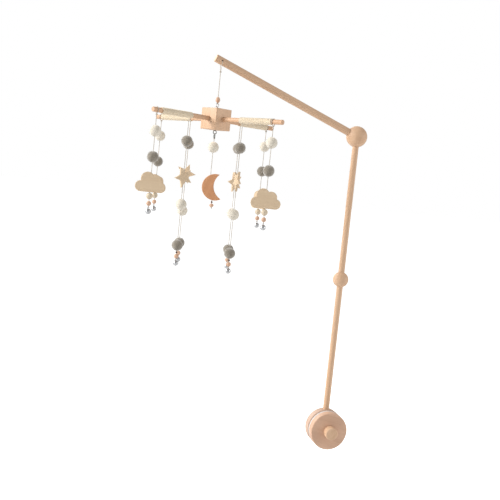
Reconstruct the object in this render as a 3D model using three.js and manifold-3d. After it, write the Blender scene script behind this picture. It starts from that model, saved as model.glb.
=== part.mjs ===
// A clamp-on wooden crib mobile. Millimetres, +Z up, the clamp screw along Y with its knob towards -Y.
// The origin is on the screw's axis, in the face of the fixed pad.
import * as THREE from "three";
import { mergeVertices } from "three/addons/utils/BufferGeometryUtils.js";
import Module from "manifold-3d";

const wasm = await Module();
wasm.setup();

const gap = 0.3; // air between neighbours
const discR = 36, discT = 17, padR = 33, padT = 2.5, jawT = 14.5, jawPadR = 35.6, jawPadT = 5, jawAir = 0.4;
const rodR = 6, rodY = 10.8, rodFoot = 11;
const midBallZ = 293, midBallR = 15, topBallZ = 568, topBallR = 20;
const armR = 7, armFrom = 8.5, armTo = 309, armSlope = 20.5, armTurn = 184, cordHoleAt = 297, cordHoleR = 1.7;
const travel = 30, boltR = 4, knobR = 12, knobL = 16, nutR = 7.5, nutL = 6.5;
const cubeS = 38, hubDrop = 103.3, hubTurn = 34, swing = 15;
const dowelR = 4.25, dowelFrom = 7, wrapR = 5.6;
const ringR = 3.2, wireR = 0.8, topNeck = 2.2, shankR = 1.2, shankL = 12;
const cordR = 0.6, hangCordR = 1;
const feltR = 10, creamR = 5.7, woodR = 4.2, darkR = 1.9, bellR = 5;
const sheathR = 1.2, sheathBore = 0.9, channelR = 1.5;
const charmT = 6, starT = 4.2;
const viewTurn = -14; // the charms' broad sides face this way, in degrees from the XZ plane

// each dowel: its turn from the hub's first, how far it reaches, its wrap, and where its two strings are tied
const dowels = {
  fl: { turn: 180, reach: 149, wrap: [60, 131], outer: 140, inner: 66 },
  fr: { turn: 270, reach: 158, wrap: [60, 135], outer: 137.5, inner: 66 },
  bl: { turn: 90, reach: 160, wrap: [62, 145], outer: 147, inner: 66 },
  br: { turn: 0, reach: 155, wrap: [60, 136], outer: 138, inner: 65 },
};
// heights below the dowel's axis, and each charm's own turn about its string
const outerStrings = {
  fl: { white: 35, grey: 78.5, charm: 121, turn: 0 },
  fr: { white: 35, grey: 82.5, charm: 129.5, turn: 0 },
  bl: { white: 36, grey: 85, charm: 127, turn: 55 },
  br: { white: 36.5, grey: 84, charm: 139, turn: -58 },
};
const innerStrings = {
  fl: { grey: 45, charm: 108, white: 155.5, low: 228, turn: 41, lean: -10 },
  fr: { grey: 47.7, charm: 105, white: 164.5, low: 233.5, turn: -70, lean: 4 },
  bl: { grey: 47.5, charm: 102.3, white: 171.5, low: 232, turn: 0, lean: 16 },
  br: { grey: 47, charm: 109, white: 168, low: 236, turn: 50, lean: -18 },
};
const tail = { cream: 23.5, wood: 36, bell: 49.5 }; // below a cloud's centre
const foot = { dark: 12.6, wood: 19.5, bell: 31.5 }; // below an inner string's lowest felt ball

const finish = {
  beech: [0xd7ab80, 0.55, 0],
  pad: [0xd8d6cf, 0.8, 0],
  steel: [0xb9bbbd, 0.35, 0.9],
  darkSteel: [0x6f6c68, 0.4, 0.8],
  brass: [0xc9a65a, 0.35, 0.9],
  cotton: [0xe6d9ba, 0.95, 0],
  string: [0xd9d6cf, 0.95, 0],
  trim: [0xd6d1c6, 0.95, 0],
  charm: [0xcfaa82, 0.6, 0],
  walnut: [0xb67a4c, 0.55, 0],
  felt: [0xe9e4d6, 0.98, 0],
  darkBead: [0x5a4334, 0.5, 0],
};

const root = new THREE.Group();
root.name = "crib_mobile";
const rad = THREE.MathUtils.degToRad;
const at = (x, y, z) => new THREE.Matrix4().makeTranslation(x, y, z);
const spin = (axis, deg) => new THREE.Matrix4().makeRotationAxis(axis, rad(deg));
const X = new THREE.Vector3(1, 0, 0), Y = new THREE.Vector3(0, 1, 0), Z = new THREE.Vector3(0, 0, 1);
const onto = (dir) => new THREE.Matrix4().makeRotationFromQuaternion(
  new THREE.Quaternion().setFromUnitVectors(Z, dir.clone().normalize()));

function solid(geometry) {
  geometry.deleteAttribute("normal");
  geometry.deleteAttribute("uv");
  const g = mergeVertices(geometry, 1e-4);
  const index = g.index ?? [...Array(g.attributes.position.count).keys()];
  const raw = new wasm.Mesh({
    numProp: 3,
    vertProperties: new Float32Array(g.attributes.position.array),
    triVerts: new Uint32Array(index.array ?? index),
  });
  return new wasm.Manifold(raw);
}

function add(name, look, body) {
  const mesh = body.getMesh();
  const g = new THREE.BufferGeometry();
  g.setAttribute("position", new THREE.BufferAttribute(new Float32Array(mesh.vertProperties), 3));
  g.setIndex(new THREE.BufferAttribute(new Uint32Array(mesh.triVerts), 1));
  const flat = g.toNonIndexed();
  flat.computeVertexNormals();
  const [color, roughness, metalness] = finish[look];
  const out = new THREE.Mesh(flat, new THREE.MeshStandardMaterial({ color, roughness, metalness }));
  out.name = name;
  root.add(out);
  return body;
}

// a turned solid along +Z from [radius, height] pairs that start and end on the axis or close on themselves
function turned(points, sides, place = new THREE.Matrix4()) {
  const g = new THREE.LatheGeometry(points.map(([r, z]) => new THREE.Vector2(r, z)), sides);
  g.applyMatrix4(spin(X, 90));
  g.applyMatrix4(place);
  const body = solid(g);
  return body.volume() < 0 ? flip(g) : body;
}

function flip(geometry) {
  const g = geometry.toNonIndexed();
  const p = g.attributes.position.array;
  for (let i = 0; i < p.length; i += 9)
    for (let k = 0; k < 3; k++) [p[i + 3 + k], p[i + 6 + k]] = [p[i + 6 + k], p[i + 3 + k]];
  return solid(g);
}

// a plain rod of radius r along +Z from a to b, with its ends' edges broken by c
const rod = (r, a, b, sides, place, c = 0) => turned(
  c ? [[0, a], [r - c, a], [r, a + c], [r, b - c], [r - c, b], [0, b]] : [[0, a], [r, a], [r, b], [0, b]],
  sides, place);

// a pipe of radii bore and r along +Z from a to b
const pipe = (bore, r, a, b, sides, place) =>
  turned([[bore, a], [r, a], [r, b], [bore, b], [bore, a]], sides, place);

// points of a ball's outline, from its top at height z down to its foot, leaving the axis at radius neck
function ballOutline(r, z, neck, steps, tall = 1) {
  const cut = Math.asin(Math.min(1, neck / r));
  return Array.from({ length: steps + 1 }, (_, i) => {
    const a = cut + ((Math.PI - 2 * cut) * i) / steps;
    return [r * Math.sin(a), z + tall * r * Math.cos(a)];
  });
}

// a ball or bead with a bore right through it
function bead(r, bore, sides, steps, place, tall = 1) {
  const line = ballOutline(r, 0, bore, steps, tall);
  return turned([...line, line[0]], sides, place);
}

const alongY = spin(X, -90); // turns +Z onto +Y

function clamp() {
  const back = padT + gap;
  const boreAt = at(0, rodY, 0);
  let block = rod(discR, back, back + discT, 48, alongY, 0.8)
    .subtract(rod(6.3, 0, 13.3, 20, alongY))
    .subtract(rod(boltR + 0.6, 0, 40, 20, alongY))
    .subtract(rod(rodR + gap, rodFoot, 60, 24, boreAt));
  add("clamp_block", "beech", block);
  add("clamp_pad_fixed", "pad", pipe(7, padR, 0, padT, 32, alongY));
  add("thread_insert", "brass", pipe(boltR + 0.25, 6, back + 0.2, 13, 20, alongY));

  const front = -jawAir - jawPadT - gap, base = front - jawT;
  const jaw = rod(discR, base, front, 48, alongY, 0.8)
    .subtract(rod(boltR + 0.6, -60, 10, 20, alongY))
    .subtract(rod(9.5, base - 1, base + 1.5, 24, alongY));
  add("clamp_jaw", "beech", jaw);
  add("clamp_pad_moving", "pad", pipe(7, jawPadR, -jawAir - jawPadT, -jawAir, 32, alongY));
  add("knob_washer", "steel", pipe(boltR + 0.4, 9, base, base + 1.2, 24, alongY));
  const knob = rod(knobR, base - gap - knobL, base - gap, 40, alongY, 1.2)
    .subtract(rod(boltR + gap, base - gap - 11, 0, 16, alongY));
  add("clamp_knob", "beech", knob);
  const end = back + discT + travel + 0.6;
  add("clamp_screw", "steel", rod(boltR, base - gap - 10.7, end + nutL + 1.5, 16, alongY, 0.4));
  add("stop_nut", "steel", rod(nutR, end, end + nutL, 6, alongY)
    .subtract(rod(boltR + 0.25, 0, 90, 16, alongY)));
}

function stand() {
  const axis = at(0, rodY, 0);
  const joint = rod(3.3, midBallZ - 15.3, midBallZ + 15.3, 12, axis);
  const lower = rod(rodR, rodFoot + gap, midBallZ - gap / 2, 24, axis, 0.4).subtract(joint);
  const upper = rod(rodR, midBallZ + gap / 2, topBallZ - 12, 24, axis, 0.4)
    .subtract(joint).subtract(rod(3.3, topBallZ - 27.3, topBallZ, 12, axis));
  add("lower_rod", "beech", lower);
  add("rod_stud", "steel", rod(3, midBallZ - 15, midBallZ + 15, 12, axis));
  add("middle_ball", "beech", bead(midBallR, rodR + gap, 28, 12, at(0, rodY, midBallZ)));
  add("upper_rod", "beech", upper);
  add("swivel_pin", "steel", rod(3, topBallZ - 27, topBallZ + 3, 12, axis));
}

const topBall = new THREE.Vector3(0, rodY, topBallZ);
const armDir = new THREE.Vector3(
  Math.cos(rad(armTurn)) * Math.cos(rad(armSlope)),
  Math.sin(rad(armTurn)) * Math.cos(rad(armSlope)),
  Math.sin(rad(armSlope)));
const armPlace = at(...topBall).multiply(onto(armDir));
const cordHole = topBall.clone().addScaledVector(armDir, cordHoleAt);
const hub = cordHole.clone().sub(new THREE.Vector3(0, 0, hubDrop));

function arm() {
  const across = new THREE.Vector3(-Math.sin(rad(armTurn)), Math.cos(rad(armTurn)), 0);
  const ball = turned(ballOutline(topBallR, 0, 0, 16), 32, at(...topBall))
    .subtract(rod(rodR + 0.35, -30, -11.7, 24, at(...topBall)))
    .subtract(rod(3.3, -20, 3.3, 12, at(...topBall)))
    .subtract(rod(armR + gap, armFrom - gap, 40, 24, armPlace));
  add("top_ball", "beech", ball);
  const bar = rod(armR, armFrom, armTo, 28, armPlace, 0.4)
    .subtract(rod(cordHoleR, -20, 20, 12, at(...cordHole).multiply(onto(across))));
  add("arm", "beech", bar);
}

// a screw eye on a cube's face, its ring standing off by neck: sign 1 is on the top, -1 hangs below
function screwEye(sign, r, neck) {
  const face = cubeS / 2, mid = sign * (face + neck + r + wireR);
  const ring = solid(new THREE.TorusGeometry(r, wireR, 8, 20)
    .applyMatrix4(at(hub.x, hub.y, hub.z + mid).multiply(spin(Z, 20)).multiply(spin(X, 90))));
  const ends = [mid - sign * (r - 0.2), sign * (face - shankL)].sort((a, b) => a - b);
  return ring.add(rod(shankR, ...ends, 10, at(...hub)));
}

const turnedHub = (deg) => at(...hub).multiply(spin(Z, hubTurn + deg));

function hubPieces() {
  let cube = solid(new THREE.BoxGeometry(cubeS, cubeS, cubeS).applyMatrix4(turnedHub(0)));
  for (const d of Object.values(dowels))
    cube = cube.subtract(rod(dowelR + gap, dowelFrom - gap, 40, 20, turnedHub(d.turn).multiply(spin(Y, 90))));
  const deep = cubeS / 2 - shankL - gap;
  cube = cube.subtract(rod(shankR + gap, deep, 30, 12, at(...hub)))
    .subtract(rod(shankR + gap, -30, -deep, 12, at(...hub)));
  add("hub_cube", "beech", cube);
  add("top_eye", "steel", screwEye(1, ringR - 0.3, topNeck));
  add("bottom_eye", "darkSteel", screwEye(-1, ringR, 0.2));
  for (const [key, d] of Object.entries(dowels)) {
    const place = turnedHub(d.turn).multiply(spin(Y, 90));
    add(`dowel_${key}`, "beech", rod(dowelR, dowelFrom, d.reach, 20, place, 0.5));
    add(`wrap_${key}`, "cotton", pipe(dowelR + gap, wrapR, ...d.wrap, 20, place));
  }
}

// straight runs from point to point, each taking an equal share of the curve's parameter
class Runs extends THREE.Curve {
  constructor(points) {
    super();
    this.points = points;
  }
  getUtoTmapping(u) {
    return u;
  }
  getPoint(t) {
    const last = this.points.length - 1, i = Math.min(Math.floor(t * last), last - 1);
    return this.points[i].clone().lerp(this.points[i + 1], t * last - i);
  }
}

// a limp cord along a list of points, drawn as one extruded tube with eight sides
function cord(name, points, r) {
  const path = new Runs(points);
  const ring = Array.from({ length: 8 }, (_, i) =>
    new THREE.Vector2(r * Math.cos((i * Math.PI) / 4), r * Math.sin((i * Math.PI) / 4)));
  const g = new THREE.ExtrudeGeometry(new THREE.Shape(ring), { steps: points.length - 1, extrudePath: path });
  const body = solid(g);
  add(name, "string", body.volume() < 0 ? flip(g) : body);
}

const under = (p, z) => new THREE.Vector3(p.x, p.y, hub.z + z);

function hanger() {
  const top = cordHole.z - (armR + 0.6) / Math.cos(rad(armSlope + swing)) - gap;
  const eyeTop = cubeS / 2 + topNeck + 2 * (ringR - 0.3) + 2 * wireR;
  cord("hanger_cord", [new THREE.Vector3(hub.x, hub.y, top), under(hub, eyeTop + gap)], hangCordR);
  add("hanger_bead", "beech", bead(4.1, hangCordR + gap, 14, 7, at(hub.x, hub.y, hub.z + 34.6), 1.32));
}

// the felt balls, beads and bell of one string, joined by a thin sheath round the cord
function trims(name, place, balls, bell, cordEnd) {
  const line = [];
  for (const [r, z, steps] of balls) line.push(...ballOutline(r, -z, sheathR, steps));
  line.push(...ballOutline(bellR, -bell, sheathR, 5).slice(0, -1), [0, -bell - bellR]);
  const bore = [[0, -cordEnd - gap], [sheathBore, -cordEnd - gap], [sheathBore, line[0][1]]];
  add(name, "trim", turned([...bore, ...line], 10, place));
}

function cloudOutline(steps = 92) {
  const lobes = [[-16.2, -7.6, 9.4], [-5.2, 5.6, 11.4], [8.8, 2.6, 10.2], [17.2, -8.2, 8.8], [0, -8.2, 8.8]];
  const inside = (x, z) => (Math.abs(x) < 16.8 && z < -2 && z > -17) || lobes.some(
    ([a, b, r]) => (x - a) ** 2 + (z - b) ** 2 < r * r);
  const out = [];
  for (let i = 0; i < steps; i++) {
    const a = (i / steps) * 2 * Math.PI;
    let r = 32;
    while (!(inside(r * Math.cos(a), r * Math.sin(a) - 5)) && r > 5) r -= 0.05;
    out.push(new THREE.Vector2(r * Math.cos(a), r * Math.sin(a) - 5));
  }
  return out;
}

function starOutline(lean, tips = 5, r = 19, notch = 0.45) {
  return Array.from({ length: 2 * tips }, (_, i) => {
    const a = Math.PI / 2 + rad(lean) + (i * Math.PI) / tips, s = i % 2 ? r : r * notch;
    return new THREE.Vector2(s * Math.cos(a), s * Math.sin(a));
  });
}

function moonOutline() {
  const r = 24, hollow = 26.4, off = 23.7;
  const x = (r * r - hollow * hollow + off * off) / (2 * off);
  const a = Math.atan2(Math.sqrt(r * r - x * x), x), b = Math.atan2(Math.sqrt(r * r - x * x), x - off);
  const outer = Array.from({ length: 39 }, (_, i) => a + ((2 * Math.PI - 2 * a) * i) / 38);
  const inner = Array.from({ length: 25 }, (_, i) => 2 * Math.PI - b - ((2 * Math.PI - 2 * b) * (i + 1)) / 26);
  return [
    ...outer.map((t) => new THREE.Vector2(r * Math.cos(t), r * Math.sin(t))),
    ...inner.map((t) => new THREE.Vector2(off + hollow * Math.cos(t), hollow * Math.sin(t))),
  ];
}

// a flat wooden figure, upright, with a channel for its string at x = where
function charm(outline, place, where = 0, thick = charmT) {
  const soft = 0.7;
  const g = new THREE.ExtrudeGeometry(new THREE.Shape(outline), {
    depth: thick - 2 * soft, bevelEnabled: true, bevelThickness: soft, bevelSize: soft,
    bevelOffset: -soft, bevelSegments: 1,
  });
  g.translate(0, 0, -thick / 2 + soft);
  const upright = spin(X, 90); // the outline's y becomes +Z
  const body = solid(g.applyMatrix4(upright));
  const drilled = body.subtract(rod(channelR, -60, 60, 12, at(where, 0, 0)));
  return drilled.transform(place.toArray());
}

function strings() {
  for (const [key, d] of Object.entries(dowels)) {
    const dir = new THREE.Vector3(Math.cos(rad(hubTurn + d.turn)), Math.sin(rad(hubTurn + d.turn)), 0);
    const o = outerStrings[key], n = innerStrings[key];
    const foo = hub.clone().addScaledVector(dir, d.outer), fin = hub.clone().addScaledVector(dir, d.inner);
    const endO = o.charm + tail.bell - bellR - 1.5, endN = n.low + foot.bell - bellR - 1.5;
    cord(`cloud_cord_${key}`, [under(foo, -dowelR - gap), under(foo, -endO)], cordR);
    trims(`cloud_trims_${key}`, at(...foo), [[feltR, o.white, 7], [feltR, o.grey, 7],
      [creamR, o.charm + tail.cream, 5], [woodR, o.charm + tail.wood, 4]], o.charm + tail.bell, endO);
    add(`cloud_${key}`, "charm", charm(cloudOutline(),
      at(foo.x, foo.y, hub.z - o.charm).multiply(spin(Z, viewTurn + o.turn))));
    cord(`star_cord_${key}`, [under(fin, -wrapR - gap), under(fin, -endN)], cordR);
    trims(`star_trims_${key}`, at(...fin), [[feltR, n.grey, 7], [feltR, n.white, 7], [feltR, n.low, 7],
      [darkR, n.low + foot.dark, 2], [woodR, n.low + foot.wood, 4]], n.low + foot.bell, endN);
    add(`star_${key}`, "charm", charm(starOutline(n.lean),
      at(fin.x, fin.y, hub.z - n.charm).multiply(spin(Z, viewTurn + n.turn)), 0, starT));
  }
}

function centreString() {
  const claspTop = 27.9, claspL = 5.6, lean = 8, hole = -7, moonTop = 99.5;
  add("centre_clasp", "darkSteel", pipe(cordR + gap, 1.8, -claspTop - claspL, -claspTop, 12, at(...hub)));
  const half = Math.sqrt(24 ** 2 - hole ** 2);
  const frame = at(hub.x, hub.y, hub.z - moonTop).multiply(spin(Z, viewTurn)).multiply(spin(Y, -lean))
    .multiply(at(-hole, 0, -half));
  add("moon", "walnut", charm(moonOutline(), frame, hole));
  const out = new THREE.Vector3(hole, 0, -half - 1).applyMatrix4(frame);
  const low = hub.z - out.z;
  cord("centre_cord", [under(hub, -claspTop - 0.6), under(hub, -moonTop), out,
    new THREE.Vector3(out.x, out.y, out.z - 11.5)], cordR);
  add("centre_ball", "felt", bead(feltR, sheathBore, 12, 8, at(hub.x, hub.y, hub.z - 50)));
  add("centre_dark_bead", "darkBead", bead(darkR, sheathBore, 10, 5, at(out.x, out.y, hub.z - low - 2.6)));
  add("centre_pale_bead", "beech", bead(4.2, sheathBore, 12, 6, at(out.x, out.y, hub.z - low - 8.4), 0.8));
}

clamp();
stand();
arm();
hanger();
hubPieces();
strings();
centreString();

export default root;
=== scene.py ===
import math

import bmesh
import bpy
from mathutils import Matrix, Vector, noise


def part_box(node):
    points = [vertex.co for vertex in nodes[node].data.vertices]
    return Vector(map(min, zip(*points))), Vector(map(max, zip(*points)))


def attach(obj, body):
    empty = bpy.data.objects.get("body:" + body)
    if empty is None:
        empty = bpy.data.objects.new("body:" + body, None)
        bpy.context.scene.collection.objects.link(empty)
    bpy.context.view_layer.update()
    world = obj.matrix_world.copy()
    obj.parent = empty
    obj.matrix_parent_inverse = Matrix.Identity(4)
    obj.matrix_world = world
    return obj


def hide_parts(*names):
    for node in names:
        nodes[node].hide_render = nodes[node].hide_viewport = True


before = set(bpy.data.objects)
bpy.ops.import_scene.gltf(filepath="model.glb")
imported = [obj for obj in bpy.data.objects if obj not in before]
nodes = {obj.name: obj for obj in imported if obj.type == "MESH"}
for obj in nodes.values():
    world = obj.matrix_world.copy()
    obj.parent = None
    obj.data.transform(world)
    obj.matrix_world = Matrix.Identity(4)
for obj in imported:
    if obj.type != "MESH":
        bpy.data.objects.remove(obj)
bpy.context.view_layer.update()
scene = bpy.context.scene
mm = 0.001
up = Vector((0, 0, 1))
print("frame loaded:", len(nodes), "nodes")


def boxMiddle(node):
    low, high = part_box(node)
    return (low + high) / 2


hub = boxMiddle("hub_cube")  # the middle of the cube that the four dowels meet in

# where the camera stands, in metres and degrees
eye = {"place": (-0.5548, -1.4570, 0.4818), "turn": 14.12, "tilt": -5.48, "roll": 5.81, "lens": 58.46}


def setCamera():
    turn, tilt, roll = (math.radians(eye[k]) for k in ("turn", "tilt", "roll"))
    ahead = Vector((math.sin(turn) * math.cos(tilt), math.cos(turn) * math.cos(tilt), math.sin(tilt)))
    flat = ahead.cross(up).normalized()
    top = flat.cross(ahead)
    right = flat * math.cos(roll) + top * math.sin(roll)
    above = top * math.cos(roll) - flat * math.sin(roll)
    data = bpy.data.cameras.new("camera")
    data.lens, data.sensor_width = eye["lens"], 36
    data.clip_start, data.clip_end = 0.05, 50
    camera = bpy.data.objects.new("camera", data)
    scene.collection.objects.link(camera)
    facing = Matrix((right, above, -ahead)).transposed().to_4x4()
    camera.matrix_world = Matrix.Translation(eye["place"]) @ facing
    scene.camera = camera


setCamera()

# the room: a pale floor, an even white surround and three soft lamps
room = {
    "floorHeight": -0.62, "floorSize": 60.0, "floorTone": (0.86, 0.86, 0.86), "floorGlow": 0.7,
    "surround": 0.50, "backdrop": 1.0,
    "lampTone": (1.0, 0.985, 0.965), "lampAim": (-0.15, 0, 0.35),
    "lamps": {
        "key": {"from": (-3.6, 0.0, 2.0), "size": 1.8, "power": 150},
        "rim": {"from": (-1.6, 3.2, 2.2), "size": 2.4, "power": 48},
        "fill": {"from": (3.2, -1.3, 1.1), "size": 2.2, "power": 42},
    },
}


class Wire:
    # a node's socket in a tree; sums written on it become Math nodes
    def __init__(self, tree, socket=None):
        self.tree, self.socket = tree, socket

    def node(self, kind, settings=None, values=None, out=0):
        made = self.tree.nodes.new(kind)
        for key, value in (settings or {}).items():
            if key == "stops":
                ramp = made.color_ramp
                ramp.elements.remove(ramp.elements[-1])
                ramp.elements[0].position, ramp.elements[0].color = value[0]
                for place, colour in value[1:]:
                    ramp.elements.new(place).color = colour
            else:
                setattr(made, key, value)
        for key, value in (values or {}).items():
            if isinstance(value, Wire):
                self.tree.links.new(value.socket, made.inputs[key])
            else:
                made.inputs[key].default_value = value
        return Wire(self.tree, made.outputs[out])

    def maths(self, operation, first, second):
        return self.node("ShaderNodeMath", {"operation": operation}, {0: first, 1: second})

    def __add__(self, other):
        return self.maths("ADD", self, other)

    def __radd__(self, other):
        return self.maths("ADD", other, self)

    def __sub__(self, other):
        return self.maths("SUBTRACT", self, other)

    def __rsub__(self, other):
        return self.maths("SUBTRACT", other, self)

    def __mul__(self, other):
        return self.maths("MULTIPLY", self, other)

    def __rmul__(self, other):
        return self.maths("MULTIPLY", other, self)

    def __gt__(self, other):
        return self.maths("GREATER_THAN", self, other)


def newMaterial(name, roughness, metallic=0.0, **fixed):
    made = bpy.data.materials.new(name)
    made.use_nodes = True
    shader = made.node_tree.nodes["Principled BSDF"]
    shader.inputs["Roughness"].default_value = roughness
    shader.inputs["Metallic"].default_value = metallic
    for label, value in fixed.items():
        shader.inputs[label.replace("_", " ")].default_value = value
    return made, shader, Wire(made.node_tree)


def plug(shader, label, wire):
    wire.tree.links.new(wire.socket, shader.inputs[label])


def tint(paint, share, first, second, blend="MIX"):
    return paint.node("ShaderNodeMix", {"data_type": "RGBA", "blend_type": blend, "clamp_factor": True},
                      {0: share, 6: first, 7: second}, out=2)


def bump(paint, shader, height, strength, distance):
    values = {"Strength": strength, "Distance": distance, "Height": height}
    plug(shader, "Normal", paint.node("ShaderNodeBump", None, values))


# object coordinates turned so that the grain runs along the third one
def alongGrain(paint, axis, offset):
    turn = Vector(axis).normalized().rotation_difference(up).to_euler()
    place = paint.node("ShaderNodeTexCoord", None, None, out="Object")
    values = {"Vector": place, "Rotation": turn[:], "Location": (offset,) * 3}
    return paint.node("ShaderNodeMapping", None, values)


# noise drawn out along the grain: how many per metre across it and along it
def grainy(paint, place, across, along, detail=4.0, rough=0.55, bend=0.0):
    drawn = paint.node("ShaderNodeVectorMath", {"operation": "MULTIPLY"},
                       {0: place, 1: (across, across, along)})
    values = {"Vector": drawn, "Scale": 1.0, "Detail": detail, "Roughness": rough, "Distortion": bend}
    return paint.node("ShaderNodeTexNoise", None, values, out="Fac")


# even noise that many to the metre
def speckle(paint, scale, detail):
    place = paint.node("ShaderNodeTexCoord", None, None, out="Object")
    values = {"Vector": place, "Scale": scale, "Detail": detail}
    return paint.node("ShaderNodeTexNoise", None, values, out="Fac")


# woods: pale and deep tones, how strong the lines are, and how many flecks
woods = {
    "beech": {"pale": (0.74, 0.505, 0.335), "deep": (0.555, 0.33, 0.19),
              "lines": 0.8, "flecks": 0.4, "gloss": 0.5},
    # painted shade: a darker, greyer copy of the beech for the clamp's rear disc, standing in for the shade
    # that falls on its rim
    "rosyPaintedShade": {"pale": (0.64, 0.455, 0.35), "deep": (0.5, 0.325, 0.235),
             "lines": 0.8, "flecks": 0.4, "gloss": 0.55},
    "jaw": {"pale": (0.72, 0.475, 0.335), "deep": (0.56, 0.34, 0.225),
            "lines": 0.9, "flecks": 0.4, "gloss": 0.52},
    "dowel": {"pale": (0.7, 0.455, 0.29), "deep": (0.5, 0.275, 0.15),
              "lines": 0.8, "flecks": 0.4, "gloss": 0.5},
    "ply": {"pale": (0.7, 0.545, 0.375), "deep": (0.59, 0.43, 0.27),
            "lines": 0.6, "flecks": 0.15, "gloss": 0.62},
    "walnut": {"pale": (0.72, 0.37, 0.185), "deep": (0.48, 0.21, 0.095),
               "lines": 1.0, "flecks": 0.1, "gloss": 0.52},
}


def wood(name, kind, axis, offset=0.0):
    look = woods[kind]
    made, shader, paint = newMaterial(name, look["gloss"])
    place = alongGrain(paint, axis, offset)
    years = grainy(paint, place, 90, 4.5, 2.0, 0.5, 0.6)
    lines = grainy(paint, place, 620, 16, 5.0, 0.62)
    broad = paint.node("ShaderNodeValToRGB", {"stops": [(0.30, (0, 0, 0, 1)), (0.72, (1, 1, 1, 1))]},
                       {0: years * 0.55 + lines * 0.45})
    pores = grainy(paint, place, 2600, 330, 1.0, 0.5)
    fleck = paint.node("ShaderNodeMapRange", None, {0: pores, 1: 0.66, 2: 0.74})
    body = tint(paint, broad, (*look["pale"], 1), (*look["deep"], 1))
    softened = tint(paint, look["lines"], (*look["pale"], 1), body)
    spotted = tint(paint, fleck * look["flecks"], softened, (*(0.62 * c for c in look["deep"]), 1))
    plug(shader, "Base Color", spotted)
    plug(shader, "Roughness", look["gloss"] + lines * 0.16 - 0.08)
    bump(paint, shader, lines * 0.7 + pores * 0.3, 0.16, 0.25 * mm)
    return made


# cloths and cords: two tones, how many fibres to the metre, and how far they lift
softs = {
    "feltWhite": {"tone": (0.80, 0.75, 0.655), "shade": (0.66, 0.605, 0.50), "fine": 900, "lift": 0.5},
    "feltGrey": {"tone": (0.310, 0.275, 0.225), "shade": (0.190, 0.164, 0.126), "fine": 900, "lift": 0.35},
    "cottonCord": {"tone": (0.85, 0.745, 0.585), "shade": (0.76, 0.645, 0.48), "fine": 1600, "lift": 0.1},
    "hangerString": {"tone": (0.62, 0.55, 0.47), "shade": (0.46, 0.40, 0.33), "fine": 1700, "lift": 0.25},
    "paleString": {"tone": (0.66, 0.60, 0.52), "shade": (0.50, 0.45, 0.38), "fine": 1700, "lift": 0.25},
    "padFoam": {"tone": (0.66, 0.61, 0.58), "shade": (0.58, 0.53, 0.50), "fine": 700, "lift": 0.25},
}


def soft(name, sheen=0.25):
    look = softs[name]
    made, shader, paint = newMaterial(name, 0.95, Sheen_Weight=sheen, Sheen_Roughness=0.5,
                                      Specular_IOR_Level=0.25)
    patches = speckle(paint, look["fine"] / 5, 3.0)
    fibres = speckle(paint, look["fine"], 4.0)
    share = paint.node("ShaderNodeMapRange", None, {0: patches * 0.5 + fibres * 0.5, 1: 0.36, 2: 0.64})
    plug(shader, "Base Color", tint(paint, share, (*look["shade"], 1), (*look["tone"], 1)))
    bump(paint, shader, fibres, look["lift"], 0.3 * mm)
    return made


# metals: tone, roughness, wear
metals = {
    "bellSilver": {"tone": (0.60, 0.61, 0.625), "rough": 0.26, "wear": 0.10},
    "brightSteel": {"tone": (0.58, 0.58, 0.59), "rough": 0.30, "wear": 0.14},
    "darkSteel": {"tone": (0.30, 0.30, 0.29), "rough": 0.38, "wear": 0.16},
    "brass": {"tone": (0.70, 0.50, 0.20), "rough": 0.34, "wear": 0.12},
}


def metal(name):
    look = metals[name]
    made, shader, paint = newMaterial(name, look["rough"], 1.0)
    rubbed = speckle(paint, 420.0, 4.0)
    darker = tuple(0.82 * c for c in look["tone"])
    plug(shader, "Base Color", tint(paint, rubbed, (*darker, 1), (*look["tone"], 1)))
    plug(shader, "Roughness", look["rough"] + rubbed * look["wear"] - look["wear"] / 2)
    return made


def lacquer(name, tone, deeper, gloss):
    made, shader, paint = newMaterial(name, gloss)
    cloudy = speckle(paint, 260.0, 3.0)
    plug(shader, "Base Color", tint(paint, cloudy, (*deeper, 1), (*tone, 1)))
    bump(paint, shader, cloudy, 0.08, 0.3 * mm)
    return made


def setRoom():
    white, shader, paint = newMaterial("paleFloor", 0.9)
    shader.inputs["Base Color"].default_value = (*room["floorTone"], 1)
    direct = paint.node("ShaderNodeLightPath", None, None, out="Is Camera Ray")
    plug(shader, "Emission Color", tint(paint, direct, (0, 0, 0, 1), (1, 1, 1, 1)))
    shader.inputs["Emission Strength"].default_value = room["floorGlow"]
    half, low = room["floorSize"] / 2, room["floorHeight"]
    data = bpy.data.meshes.new("floor")
    corners = [(-half, -half, low), (half, -half, low), (half, half, low), (-half, half, low)]
    data.from_pydata(corners, [], [(0, 1, 2, 3)])
    data.materials.append(white)
    floor = bpy.data.objects.new("floor", data)
    scene.collection.objects.link(floor)
    for name, lamp in room["lamps"].items():
        light = bpy.data.lights.new(name, "AREA")
        light.size, light.energy, light.color = lamp["size"], lamp["power"], room["lampTone"]
        holder = bpy.data.objects.new(name, light)
        scene.collection.objects.link(holder)
        aim = Vector(room["lampAim"]) - Vector(lamp["from"])
        facing = aim.to_track_quat("-Z", "Y").to_matrix().to_4x4()
        holder.matrix_world = Matrix.Translation(lamp["from"]) @ facing
    world = bpy.data.worlds.new("surround")
    scene.world = world
    world.use_nodes = True
    sky = Wire(world.node_tree)
    seen = sky.node("ShaderNodeLightPath", None, None, out="Is Camera Ray")
    back = world.node_tree.nodes["Background"]
    back.inputs["Color"].default_value = (1, 1, 1, 1)
    strength = room["surround"] + seen * (room["backdrop"] - room["surround"])
    world.node_tree.links.new(strength.socket, back.inputs["Strength"])
    scene.view_settings.view_transform = "Standard"


setRoom()
print("camera and room set")

# grain directions, and one wood for each
dowelTurns = {"fl": 214, "fr": 304, "bl": 124, "br": 34}
armAxis = (boxMiddle("arm") - boxMiddle("top_ball")).normalized()


def level(degrees):
    return Vector((math.cos(math.radians(degrees)), math.sin(math.radians(degrees)), 0))


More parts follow.
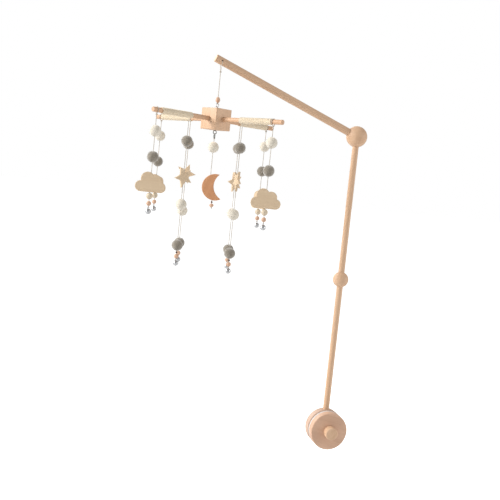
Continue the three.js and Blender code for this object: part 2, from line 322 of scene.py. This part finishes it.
looks = {
    "rod": wood("beechRod", "beech", (0, 0, 1), 0.3),
    "upperRod": wood("beechUpperRod", "beech", (0.01, 0, 1), 1.7),
    "arm": wood("beechArm", "beech", armAxis, 2.9),
    "ball": wood("beechBall", "beech", (0.5, 0.2, 1), 4.1),
    # painted shade: the rear disc's wood is made darker than the jaw's to stand in for the shade on its rim
    "discPaintedShade": wood("beechDiscPaintedShade", "rosyPaintedShade", (1, 0.05, 0.35), 5.3),
    "jaw": wood("beechJaw", "jaw", (1, 0.02, -0.25), 6.1),
    "cube": wood("beechCube", "beech", (0.1, 0.1, 1), 7.7),
    "dowelA": wood("beechDowelA", "dowel", level(34), 8.2),
    "dowelB": wood("beechDowelB", "dowel", level(124), 9.4),
    "bead": wood("beechBead", "jaw", (0, 0.1, 1), 10.6),
    "charm": wood("plyCharm", "ply", (1, -0.25, 0.05), 11.3),
    "moon": wood("walnutMoon", "walnut", (0.35, -0.1, 1), 12.5),
    "cotton": soft("cottonCord"),
    "hanger": soft("hangerString"),
    "string": soft("paleString"),
    "white": soft("feltWhite", 0.6),
    "grey": soft("feltGrey", 1.0),
    "pad": soft("padFoam", 0.1),
    "bell": metal("bellSilver"),
    "steel": metal("brightSteel"),
    "dark": metal("darkSteel"),
    "brass": metal("brass"),
    "cream": lacquer("creamBead", (0.70, 0.60, 0.46), (0.61, 0.51, 0.37), 0.5),
    "darkBead": lacquer("darkBead", (0.13, 0.075, 0.045), (0.08, 0.045, 0.028), 0.4),
}
print("finishes made:", len(looks))


# a tree of Geometry Nodes with named inputs; also keeps each input's identifier
def newTree(name, inputs):
    tree = bpy.data.node_groups.new(name, "GeometryNodeTree")
    tree.interface.new_socket("Geometry", in_out="INPUT", socket_type="NodeSocketGeometry")
    ids = {}
    for label, kind in inputs.items():
        made = tree.interface.new_socket(label, in_out="INPUT", socket_type="NodeSocket" + kind)
        ids[label] = made.identifier
    tree.interface.new_socket("Geometry", in_out="OUTPUT", socket_type="NodeSocketGeometry")
    start, end = tree.nodes.new("NodeGroupInput"), tree.nodes.new("NodeGroupOutput")
    sockets = {label: Wire(tree, start.outputs[label]) for label in ("Geometry", *inputs)}
    return tree, ids, sockets, end


def finishTree(tree, end, shape, finish):
    whole = shape.node("GeometryNodeRealizeInstances", None, {"Geometry": shape})
    painted = shape.node("GeometryNodeSetMaterial", None, {"Geometry": whole, "Material": finish})
    tree.links.new(painted.socket, end.inputs[0])


# a tube of that many sides and that radius along a curve
def tubeAlong(line, sides, radius):
    ring = line.node("GeometryNodeCurvePrimitiveCircle", None, {"Resolution": sides, "Radius": radius})
    return line.node("GeometryNodeCurveToMesh", None,
                     {"Curve": line, "Profile Curve": ring, "Fill Caps": True})


# one cord wound into a coil along the third axis
def coilTree():
    tree, ids, take, end = newTree("coil", {
        "Turns": "Float", "Steps Per Turn": "Int", "Coil Radius": "Float", "Height": "Float",
        "Cord Radius": "Float", "Sides": "Int", "Material": "Material"})
    shape = take["Geometry"]
    line = shape.node("GeometryNodeCurveSpiral", None, {
        "Resolution": take["Steps Per Turn"], "Rotations": take["Turns"], "Height": take["Height"],
        "Start Radius": take["Coil Radius"], "End Radius": take["Coil Radius"]})
    finishTree(tree, end, tubeAlong(line, take["Sides"], take["Cord Radius"]), take["Material"])
    return tree, ids


# short bent fibres that stand all over a surface
def fuzzTree():
    tree, ids, take, end = newTree("fuzz", {
        "Density": "Float", "Fibre Length": "Float", "Fibre Radius": "Float", "Seed": "Int",
        "Material": "Material"})
    shape = take["Geometry"]
    spots = shape.node("GeometryNodeDistributePointsOnFaces", None,
                       {"Mesh": shape, "Density": take["Density"], "Seed": take["Seed"]})
    stance = Wire(tree, spots.socket.node.outputs["Rotation"])
    reach = take["Fibre Length"]
    bent = shape.node("ShaderNodeCombineXYZ", None, {"X": reach * 0.1, "Z": reach * 0.55})
    tip = shape.node("ShaderNodeCombineXYZ", None, {"X": reach * 0.55, "Y": reach * 0.2, "Z": reach * 0.75})
    line = shape.node("GeometryNodeCurveQuadraticBezier", None,
                      {"Resolution": 3, "Start": (0, 0, 0), "Middle": bent, "End": tip})
    fibre = tubeAlong(line, 3, take["Fibre Radius"])
    size = shape.node("FunctionNodeRandomValue", {"data_type": "FLOAT"}, {2: 0.4, 3: 1.2, "Seed": 3}, out=1)
    grown = shape.node("GeometryNodeInstanceOnPoints", None,
                       {"Points": spots, "Instance": fibre, "Rotation": stance, "Scale": size})
    lean = shape.node("FunctionNodeRandomValue", {"data_type": "FLOAT_VECTOR"},
                      {0: (-1.15, -1.15, -3.14), 1: (1.15, 1.15, 3.14), "Seed": 5})
    ruffled = shape.node("GeometryNodeRotateInstances", None,
                         {"Instances": grown, "Rotation": lean, "Local Space": True})
    finishTree(tree, end, ruffled, take["Material"])
    return tree, ids


# smooth shading, kept crisp where two faces meet at more than the limit
def edgeTree():
    tree, ids, take, end = newTree("roundShading", {"Limit": "Float", "Material": "Material"})
    shape = take["Geometry"]
    merged = shape.node("GeometryNodeMergeByDistance", None, {"Geometry": shape, "Distance": 0.00001})
    even = shape.node("GeometryNodeSetShadeSmooth", {"domain": "FACE"},
                      {"Geometry": merged, "Shade Smooth": True})
    angle = shape.node("GeometryNodeInputMeshEdgeAngle")
    crisp = shape.node("GeometryNodeSetShadeSmooth", {"domain": "EDGE"},
                       {"Geometry": even, "Selection": angle > take["Limit"], "Shade Smooth": False})
    finishTree(tree, end, crisp, take["Material"])
    return tree, ids


coil, fuzz, roundShading = coilTree(), fuzzTree(), edgeTree()
crispEdge = math.radians(32)


def meshObject(name, data, finish=None):
    obj = bpy.data.objects.new(name, data)
    scene.collection.objects.link(obj)
    if finish is not None:
        data.materials.clear()
        data.materials.append(finish)
    return obj


# what a tree makes on a starting mesh, kept as a plain mesh and moved to its place
def grow(name, recipe, values, start=None, place=None):
    tree, ids = recipe
    carrier = meshObject(name + "Start", start or bpy.data.meshes.new(name + "Start"))
    step = carrier.modifiers.new("grow", "NODES")
    step.node_group = tree
    for label, value in values.items():
        step[ids[label]] = value
    carrier.update_tag()
    data = bpy.data.meshes.new_from_object(carrier.evaluated_get(bpy.context.evaluated_depsgraph_get()))
    carrier.modifiers.remove(step)
    bpy.data.objects.remove(carrier)
    if recipe is not roundShading:
        data.shade_smooth()
    if place is not None:
        data.transform(place)
    data.name = name
    return meshObject(name, data)


def place(obj, body, slot):
    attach(obj, body)
    return obj


# a turned solid from (radius, height) pairs going down its outside, closed on the axis or on itself
def turned(name, outline, sides, at, finish, shift=None):
    ringed = outline[0] == outline[-1]
    steps = outline[:-1] if ringed else outline
    points, rows, faces = [], [], []
    for r, z in steps:
        if r < 1e-7:
            rows.append([len(points)] * sides)
            points.append(Vector((0, 0, z)))
        else:
            rows.append(list(range(len(points), len(points) + sides)))
            points += [Vector((r * math.cos(a), r * math.sin(a), z))
                       for a in (2 * math.pi * i / sides for i in range(sides))]
    for i in range(len(rows) - (0 if ringed else 1)):
        upper, lower = rows[i], rows[(i + 1) % len(rows)]
        for j in range(sides):
            k = (j + 1) % sides
            face = []
            for v in (upper[j], lower[j], lower[k], upper[k]):
                if v not in face:
                    face.append(v)
            faces.append(face)
    if shift:
        points = [shift(p) for p in points]
    data = bpy.data.meshes.new(name)
    data.from_pydata([at @ p for p in points], [], faces)
    data.shade_smooth()
    return meshObject(name, data, finish)


# half a ball's outline from top to bottom, with a hole down its middle where it has a bore
def ballOutline(radius, bore, steps):
    cut = math.asin(bore / radius)
    line = [(radius * math.sin(a), radius * math.cos(a))
            for a in (cut + (math.pi - 2 * cut) * i / steps for i in range(steps + 1))]
    return line + [line[0]] if bore > 0 else [(0, line[0][1])] + line[1:-1] + [(0, line[-1][1])]


# an even walk along a smooth line through the given points
def smoothLine(points, step=0.5 * mm):
    knots = [2 * points[0] - points[1], *points, 2 * points[-1] - points[-2]]
    fine = []
    for i in range(1, len(knots) - 2):
        a, b, c, d = knots[i - 1:i + 3]
        parts = max(2, int((c - b).length / (0.4 * step)))
        for j in range(parts):
            t = j / parts
            fine.append(0.5 * (2 * b + (c - a) * t + (2 * a - 5 * b + 4 * c - d) * t * t
                               + (3 * b - a - 3 * c + d) * t ** 3))
    fine.append(points[-1].copy())
    far = [0.0]
    for i in range(1, len(fine)):
        far.append(far[-1] + (fine[i] - fine[i - 1]).length)
    count = max(4, round(far[-1] / step))
    out, i = [], 0
    for k in range(count + 1):
        want = far[-1] * k / count
        while i < len(far) - 2 and far[i + 1] < want:
            i += 1
        span = far[i + 1] - far[i]
        out.append(fine[i].lerp(fine[i + 1], min(1, (want - far[i]) / span) if span else 0))
    return out


def lengthOf(line):
    return sum((b - a).length for a, b in zip(line, line[1:]))


# a twisted cord along a line: its plies show as ridges that wind round it
def twisted(name, line, radius, finish, plies=3, lay=4.2 * mm, sides=12):
    points, faces = [], []
    side = (line[1] - line[0]).orthogonal().normalized()
    walked = 0.0
    for i, p in enumerate(line):
        ahead = (line[min(i + 1, len(line) - 1)] - line[max(i - 1, 0)]).normalized()
        side = (side - ahead * side.dot(ahead)).normalized()
        other = ahead.cross(side)
        if i:
            walked += (p - line[i - 1]).length
        wind = 2 * math.pi * walked / lay
        for j in range(sides):
            a = 2 * math.pi * j / sides
            r = radius * (0.86 + 0.14 * math.cos(plies * a))
            points.append(p + r * (side * math.cos(a + wind) + other * math.sin(a + wind)))
    for i in range(len(line) - 1):
        for j in range(sides):
            k = (j + 1) % sides
            faces.append((i * sides + j, i * sides + k, (i + 1) * sides + k, (i + 1) * sides + j))
    faces.append(tuple(reversed(range(sides))))
    faces.append(tuple(range(len(points) - sides, len(points))))
    data = bpy.data.meshes.new(name)
    data.from_pydata(points, [], faces)
    data.shade_smooth()
    return meshObject(name, data, finish)


# a small pulled-tight knot of the same cord
def knot(name, centre, size, radius, finish, turn=0.0):
    count, sides, points, faces = 54, 7, [], []
    line = []
    for i in range(count):
        t = 2 * math.pi * i / count
        wide, tall = math.sin(t) + 2 * math.sin(2 * t), 0.85 * (math.cos(t) - 2 * math.cos(2 * t))
        deep = -1.25 * math.sin(3 * t)
        line.append(centre + Matrix.Rotation(turn, 3, "Z") @ Vector((wide, deep, tall)) * (size / 3))
    for i, p in enumerate(line):
        ahead = (line[(i + 1) % count] - line[i - 1]).normalized()
        out = p - centre
        side = (out - ahead * out.dot(ahead)).normalized()
        other = ahead.cross(side)
        points += [p + radius * (side * math.cos(a) + other * math.sin(a))
                   for a in (2 * math.pi * j / sides for j in range(sides))]
    for i in range(count):
        for j in range(sides):
            k, n = (j + 1) % sides, (i + 1) % count
            faces.append((i * sides + j, i * sides + k, n * sides + k, n * sides + j))
    data = bpy.data.meshes.new(name)
    data.from_pydata(points, [], faces)
    data.shade_smooth()
    return meshObject(name, data, finish)


def ringMesh(name, centre, axis, radius, wire, finish, steps=28, sides=10):
    turn = Vector(axis).normalized().to_track_quat("Z", "X").to_matrix().to_4x4()
    outline = [(radius + wire * math.cos(a), -wire * math.sin(a))
               for a in (2 * math.pi * i / sides for i in range(sides))]
    return turned(name, outline + [outline[0]], steps, Matrix.Translation(centre) @ turn, finish)


# felt balls: how far the surface wanders, and their loose fibres
felt = {
    "wander": 0.32 * mm, "dents": 0.14 * mm, "bore": 0.8 * mm,
    "density": 420000.0, "fibre": 1.25 * mm, "thick": 0.028 * mm,
}


def feltBall(name, body, centre, radius, shade, seed):
    shift = Vector((seed * 1.37, seed * 0.71, seed * 0.29))

    def worn(p):
        out = p.normalized() if p.length else up
        lift = felt["wander"] * noise.noise(p * 95 + shift) + felt["dents"] * noise.noise(p * 420 + shift)
        return p + out * (lift - felt["wander"] * 0.4)

    outline = ballOutline(radius, felt["bore"], 26)
    ball = turned(name, outline, 36, Matrix.Translation(centre), looks[shade], worn)
    loose = grow(name + "Fuzz", fuzz, {
        "Density": felt["density"], "Fibre Length": felt["fibre"], "Fibre Radius": felt["thick"],
        "Seed": seed, "Material": looks[shade]}, ball.data.copy())
    for piece in (ball, loose):
        place(piece, body, "felt")
    return [ball, loose]


def beadAt(name, body, centre, radius, finish):
    outline = ballOutline(radius, felt["bore"], 16)
    return place(turned(name, outline, 28, Matrix.Translation(centre), looks[finish]), body, "trim")


# little round bells: a shell with a cross slot below, a band, a ring on top and a pellet inside
bell = {
    "radius": 5 * mm, "wall": 0.45 * mm, "slot": 0.9 * mm, "slotTurn": 0.4, "lean": 0.12,
    "ring": 1.55 * mm, "wire": 0.34 * mm, "pellet": 1.5 * mm, "pelletDrop": 2.6 * mm,
    "band": [(1.0, 0.45), (1.045, 0.3), (1.045, -0.3), (1.0, -0.45)],  # share of the radius, height in mm
}


def bellShell():
    outer, wall = bell["radius"], bell["wall"]
    band = [(outer * share, z * mm) for share, z in bell["band"]]
    topHalf = [(0, outer)] + [(outer * math.sin(a), outer * math.cos(a))
                              for a in (math.pi / 2 * i / 12 for i in range(1, 12))]
    outline = topHalf + band + [(r, -z) for r, z in reversed(topHalf)]
    shell = turned("bellShell", outline, 32, Matrix.Identity(4), looks["bell"])
    hollow = turned("bellHollow", ballOutline(outer - wall, 0, 14), 24, Matrix.Identity(4), looks["bell"])
    cutters = [hollow]
    for turn in (bell["slotTurn"], bell["slotTurn"] + math.pi / 2):
        block = bmesh.new()
        bmesh.ops.create_cube(block, size=1.0)
        size = Matrix.Diagonal((2 * 0.62 * outer, bell["slot"], outer, 1))
        block.transform(Matrix.Rotation(turn, 4, "Z") @ Matrix.Translation((0, 0, -0.95 * outer)) @ size)
        data = bpy.data.meshes.new("bellSlot")
        block.to_mesh(data)
        block.free()
        cutters.append(meshObject("bellSlot", data, looks["bell"]))
    for cutter in cutters:
        cut = shell.modifiers.new("cut", "BOOLEAN")
        cut.operation, cut.solver, cut.object = "DIFFERENCE", "EXACT", cutter
    bpy.context.view_layer.update()
    data = bpy.data.meshes.new_from_object(shell.evaluated_get(bpy.context.evaluated_depsgraph_get()))
    for old in (shell, *cutters):
        bpy.data.objects.remove(old)
    data.name = "bellShell"
    return data


bellData = bellShell()


def bellAt(name, body, centre, turn):
    data = bellData.copy()
    leaning = Matrix.Rotation(turn, 4, "Z") @ Matrix.Rotation(bell["lean"], 4, "X")
    data.transform(Matrix.Translation(centre) @ leaning)
    shell = meshObject(name, data, looks["bell"])
    top = centre + up * (bell["radius"] + bell["ring"] - 0.25 * mm)
    facing = level(math.degrees(turn) + 90)
    ring = ringMesh(name + "Ring", top, facing, bell["ring"], bell["wire"], looks["bell"], 20, 8)
    inside = Matrix.Translation(centre - up * bell["pelletDrop"])
    pellet = turned(name + "Pellet", ballOutline(bell["pellet"], 0, 8), 14, inside, looks["steel"])
    for piece in (shell, ring, pellet):
        place(piece, body, "trim")
    return [shell, ring, pellet]


print("makers ready")

# the clamp and stand keep their CAD solids; each takes a finish and smooth shading on its round sides
finishes = {
    "clamp_block": "discPaintedShade", "clamp_jaw": "jaw",
    "clamp_knob": "ball", "middle_ball": "ball", "top_ball": "ball",
    "lower_rod": "rod", "upper_rod": "upperRod", "arm": "arm", "hub_cube": "cube", "hanger_bead": "bead",
    "dowel_fl": "dowelA", "dowel_br": "dowelA", "dowel_fr": "dowelB", "dowel_bl": "dowelB",
    "centre_pale_bead": "bead", "centre_dark_bead": "darkBead", "moon": "moon", "clamp_pad_fixed": "pad",
    "clamp_pad_moving": "pad", "thread_insert": "brass", "rod_stud": "steel", "swivel_pin": "steel",
    "knob_washer": "steel", "clamp_screw": "steel", "stop_nut": "steel", "top_eye": "steel",
    "bottom_eye": "dark", "centre_clasp": "dark",
    **{f"{what}_{key}": "charm" for what in ("cloud", "star") for key in dowelTurns},
}
for node, look in finishes.items():
    obj = nodes[node]
    obj.data.materials.clear()
    obj.data.materials.append(looks[look])
    step = obj.modifiers.new("roundShading", "NODES")
    step.node_group = roundShading[0]
    step[roundShading[1]["Limit"]] = crispEdge
    step[roundShading[1]["Material"]] = looks[look]
print("stand finished")

# the cube: broken edges, four holes for the dowels and two for the screw eyes
cube = {
    "side": 38 * mm, "edge": 1.1 * mm, "turn": 34, "dowelHole": 4.55 * mm, "dowelDepth": 12.3 * mm,
    "eyeHole": 1.5 * mm, "eyeDepth": 12 * mm,
}


def hubCube():
    block = bmesh.new()
    bmesh.ops.create_cube(block, size=cube["side"])
    bmesh.ops.bevel(block, geom=block.edges[:], offset=cube["edge"], segments=4, profile=0.5,
                    affect="EDGES")
    block.transform(Matrix.Translation(hub) @ Matrix.Rotation(math.radians(cube["turn"]), 4, "Z"))
    data = bpy.data.meshes.new("hubCube")
    block.to_mesh(data)
    block.free()
    solid = meshObject("hubCube", data, looks["cube"])
    holes = [(level(a), cube["dowelHole"], cube["dowelDepth"]) for a in dowelTurns.values()]
    holes += [(axis, cube["eyeHole"], cube["eyeDepth"]) for axis in (up, -up)]
    cutters = []
    for axis, radius, deep in holes:
        spot = Matrix.Translation(hub) @ axis.to_track_quat("Z", "X").to_matrix().to_4x4()
        start, stop = cube["side"] / 2 - deep, 30 * mm
        outline = [(0, stop), (radius, stop), (radius, start), (0, start)]
        cutters.append(turned("drill", outline, 36, spot, looks["cube"]))
        cut = solid.modifiers.new("drill", "BOOLEAN")
        cut.operation, cut.solver, cut.object = "DIFFERENCE", "EXACT", cutters[-1]
    bpy.context.view_layer.update()
    made = bpy.data.meshes.new_from_object(solid.evaluated_get(bpy.context.evaluated_depsgraph_get()))
    for old in (solid, *cutters):
        bpy.data.objects.remove(old)
    obj = grow("hubCube", roundShading, {"Limit": crispEdge, "Material": looks["cube"]}, made)
    place(obj, "hub", "beech")
    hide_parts("hub_cube")
    return obj


hubCube()

# cotton cord wound round the dowels, and the thread on the clamp's screw
wraps = {
    "cord": 0.68 * mm, "radius": 4.93 * mm, "pack": 0.985,
    # millimetres from the hub's middle
    "spans": {"fl": (60, 131), "fr": (60, 135), "bl": (62, 145), "br": (60, 136)},
}


def woundCord(key):
    begin, end = (v * mm for v in wraps["spans"][key])
    along, long = level(dowelTurns[key]), end - begin - 2 * wraps["cord"]
    spot = Matrix.Translation(hub + along * (begin + wraps["cord"]))
    obj = grow("wrap_" + key + "Cord", coil, {
        "Turns": long / (2 * wraps["cord"] * wraps["pack"]), "Steps Per Turn": 26,
        "Coil Radius": wraps["radius"], "Height": long, "Cord Radius": wraps["cord"], "Sides": 7,
        "Material": looks["cotton"]}, None, spot @ along.to_track_quat("Z", "Y").to_matrix().to_4x4())
    place(obj, "hub", "cotton")
    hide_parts("wrap_" + key)
    return obj


for key in dowelTurns:
    woundCord(key)

thread = {
    "from": 19.9 * mm, "to": 50.2 * mm, "pitch": 1.25 * mm, "radius": 3.87 * mm, "ridge": 0.28 * mm,
}


def screwThread():
    long = thread["to"] - thread["from"]
    spot = Matrix.Translation((0, thread["from"], 0)) @ Matrix.Rotation(-math.pi / 2, 4, "X")
    obj = grow("screwThread", coil, {
        "Turns": long / thread["pitch"], "Steps Per Turn": 28, "Coil Radius": thread["radius"],
        "Height": long, "Cord Radius": thread["ridge"], "Sides": 5, "Material": looks["steel"]},
        None, spot)
    return place(obj, "screw", "steel")


screwThread()
print("cube, wound cords and thread made")

# the strings: heights in millimetres below the dowels' line; each charm keeps its CAD solid
clouds = {
    "fl": {"out": 140, "white": 35, "grey": 78.5, "charm": 121},
    "fr": {"out": 137.5, "white": 35, "grey": 82.5, "charm": 129.5},
    "bl": {"out": 147, "white": 36, "grey": 85, "charm": 127},
    "br": {"out": 138, "white": 36.5, "grey": 84, "charm": 139},
}
stars = {
    "fl": {"out": 66, "grey": 45, "white": 155.5, "low": 228},
    "fr": {"out": 66, "grey": 47.7, "white": 164.5, "low": 233.5},
    "bl": {"out": 66, "grey": 47.5, "white": 171.5, "low": 232},
    "br": {"out": 65, "grey": 47, "white": 168, "low": 236},
}
tail = {"cream": 23.5, "wood": 36, "bell": 49.5}  # below a cloud's middle
foot = {"dark": 12.6, "wood": 19.5, "bell": 31.5}  # below an inner string's lowest ball
trims = {
    "felt": 10 * mm, "cream": 5.7 * mm, "wood": 4.2 * mm, "dark": 1.9 * mm,
    "cordEnd": 7.6, "lastKnot": 7.4,  # above a bell's middle
}
cord = {"radius": 0.7 * mm, "knotCord": 0.55 * mm, "topKnot": 1.5 * mm, "lastKnot": 1.15 * mm}
loop = {
    "bar": 4.25 * mm, "clear": 0.06 * mm, "below": 3.4 * mm,
    "from": -52, "to": 233, "step": 12, "drift": 0.7 * mm,  # degrees round the bar, and how far along it
}


def below(point, z):
    return point - up * z * mm


# a cord that comes out from under the wound cotton and hangs down
def wovenLine(at, drop):
    return smoothLine([at - up * z for z in (4.75 * mm, 6 * mm, 9 * mm, (9 * mm + drop) / 2, drop)])


# a cord tied round a dowel at a point on its line, which then hangs down
def tiedLine(at, along, drop):
    side = along.cross(up).normalized()
    r, low = loop["bar"] + cord["radius"] + loop["clear"], loop["bar"] + loop["below"]
    points = [at - up * low + along * -0.5 * mm]
    for angle in range(loop["from"], loop["to"], loop["step"]):
        a = math.radians(angle)
        shift = loop["drift"] * (angle - 90) / 142
        points.append(at + (side * math.cos(a) + up * math.sin(a)) * r + along * shift)
    points.append(at - up * low + along * 0.3 * mm)
    points += [at - up * z for z in (low + 3 * mm, low + 7 * mm, (low + 7 * mm + drop) / 2, drop)]
    return smoothLine(points), at - up * low


# the cord itself with its knots; the knots are added to the list of what hangs on it
def tie(name, body, line, knots, parts):
    piece = place(twisted(name, line, cord["radius"], looks["string"]), body, "string")
    for i, (spot, size) in enumerate(knots):
        tied = knot(f"{name}Knot{i}", spot, size, cord["knotCord"], looks["string"], 0.7 * i + 0.4)
        parts.append(place(tied, body, "string"))
    lengthOf(line)
    return piece


def cloudString(key, seed):
    spec, body, along = clouds[key], "cloud_string_" + key, level(dowelTurns[key])
    at = hub + along * spec["out"] * mm
    low = spec["charm"] + tail["bell"]
    parts = feltBall("cloudWhite_" + key, body, below(at, spec["white"]), trims["felt"], "white", seed)
    parts += feltBall("cloudGrey_" + key, body, below(at, spec["grey"]), trims["felt"], "grey", seed + 1)
    for name, size, finish in (("cloudCream_", "cream", "cream"), ("cloudWood_", "wood", "bead")):
        parts.append(beadAt(name + key, body, below(at, spec["charm"] + tail[size]), trims[size], finish))
    parts += bellAt("cloudBell_" + key, body, below(at, low), seed * 0.9)
    parts.append(nodes["cloud_" + key])
    line, first = tiedLine(at, along, (low - trims["cordEnd"]) * mm)
    knots = [(first, cord["topKnot"]), (below(at, low - trims["lastKnot"]), cord["lastKnot"])]
    piece = tie("cloudCord_" + key, body, line, knots, parts)
    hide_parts("cloud_cord_" + key, "cloud_trims_" + key)


def starString(key, seed):
    spec, body = stars[key], "star_string_" + key
    at = hub + level(dowelTurns[key]) * spec["out"] * mm
    low = spec["low"] + foot["bell"]
    parts = feltBall("starGrey_" + key, body, below(at, spec["grey"]), trims["felt"], "grey", seed)
    parts += feltBall("starWhite_" + key, body, below(at, spec["white"]), trims["felt"], "white", seed + 1)
    parts += feltBall("starLow_" + key, body, below(at, spec["low"]), trims["felt"], "grey", seed + 2)
    for name, size, finish in (("starDark_", "dark", "darkBead"), ("starWood_", "wood", "bead")):
        parts.append(beadAt(name + key, body, below(at, spec["low"] + foot[size]), trims[size], finish))
    parts += bellAt("starBell_" + key, body, below(at, low), seed * 0.7)
    parts.append(nodes["star_" + key])
    line = wovenLine(at, (low - trims["cordEnd"]) * mm)
    knots = [(below(at, low - trims["lastKnot"]), cord["lastKnot"])]
    piece = tie("starCord_" + key, body, line, knots, parts)
    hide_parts("star_cord_" + key, "star_trims_" + key)


for i, key in enumerate(clouds):
    cloudString(key, 10 + 5 * i)
    starString(key, 40 + 5 * i)
print("eight strings hung")

# the middle string: a link in the lower screw eye, a clasp, a ball, the moon and two beads
middle = {
    "link": 1.65 * mm, "linkWire": 0.36 * mm, "linkDrop": 26.95, "linkTurn": 20,
    "ball": 50, "topKnot": 34.6, "topKnotSize": 1.2 * mm, "moonTop": 99.5,
    "exit": (6.3, -1.6, -145.9), "end": 12.2,  # the moon's lower tip, and the cord's end below it
    "route": (31, 36, 50, 75, 92, 98.5), "moonShares": (0.05, 0.3, 0.6, 0.97), "tail": (1.6, 4, 8),
}


def centreString():
    body = "centre_string"
    out = hub + Vector(middle["exit"]) * mm
    parts = feltBall("centreBall", body, below(hub, middle["ball"]), trims["felt"], "white", 71)
    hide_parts("centre_ball")
    link = ringMesh("claspLink", below(hub, middle["linkDrop"]), level(middle["linkTurn"]),
                    middle["link"], middle["linkWire"], looks["dark"])
    parts.append(place(link, body, "dark_steel"))
    parts += [nodes[name] for name in ("centre_clasp", "moon", "centre_dark_bead", "centre_pale_bead")]
    entry = below(hub, middle["moonTop"])
    points = [below(hub, z) for z in middle["route"]]
    points += [entry + (out - entry) * t for t in middle["moonShares"]]
    points += [below(out, z) for z in (*middle["tail"], middle["end"])]
    knots = [(below(hub, middle["topKnot"]), middle["topKnotSize"]),
             (below(out, middle["end"] + 0.9), cord["topKnot"])]
    piece = tie("centreCord", body, smoothLine(points), knots, parts)
    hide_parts("centre_cord")


centreString()

# the doubled cord on the arm: up in front, through the arm's hole, down behind, knotted below the arm
hanger = {
    "radius": 0.55 * mm, "lay": 3.8 * mm, "across": (0.0698, -0.9976, 0),
    "knots": [
        {"name": "hangerHitch", "height": 84.0, "size": 1.7 * mm, "cord": 0.55 * mm, "turn": 0.5},
        {"name": "hangerTie", "height": 29.4, "size": 1.5 * mm, "cord": 0.5 * mm, "turn": 1.3},
    ],
    # half of the loop: how far out, and how high above the cube's middle
    "half": [(0.5, 29.9), (0.62, 33), (0.62, 40), (0.62, 60), (0.62, 80), (0.64, 84), (1.5, 87),
             (3.7, 91.5), (5.8, 96), (7.25, 99.3), (7.62, 100.7), (7.3, 101.9), (6.3, 102.3), (3, 102.3)],
}


def hangerCord():
    body, across = "hanger", Vector(hanger["across"])
    whole = hanger["half"] + [(-out, z) for out, z in reversed(hanger["half"])]
    line = smoothLine([hub + across * out * mm + up * z * mm for out, z in whole])
    piece = twisted("hangerCord", line, hanger["radius"], looks["hanger"], lay=hanger["lay"])
    place(piece, body, "string")
    for spec in hanger["knots"]:
        spot = hub + up * spec["height"] * mm
        tied = knot(spec["name"], spot, spec["size"], spec["cord"], looks["hanger"], spec["turn"])
        place(tied, body, "string")
    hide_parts("hanger_cord")
    lengthOf(line)


hangerCord()
print("middle string and hanger made")

bpy.context.view_layer.update()
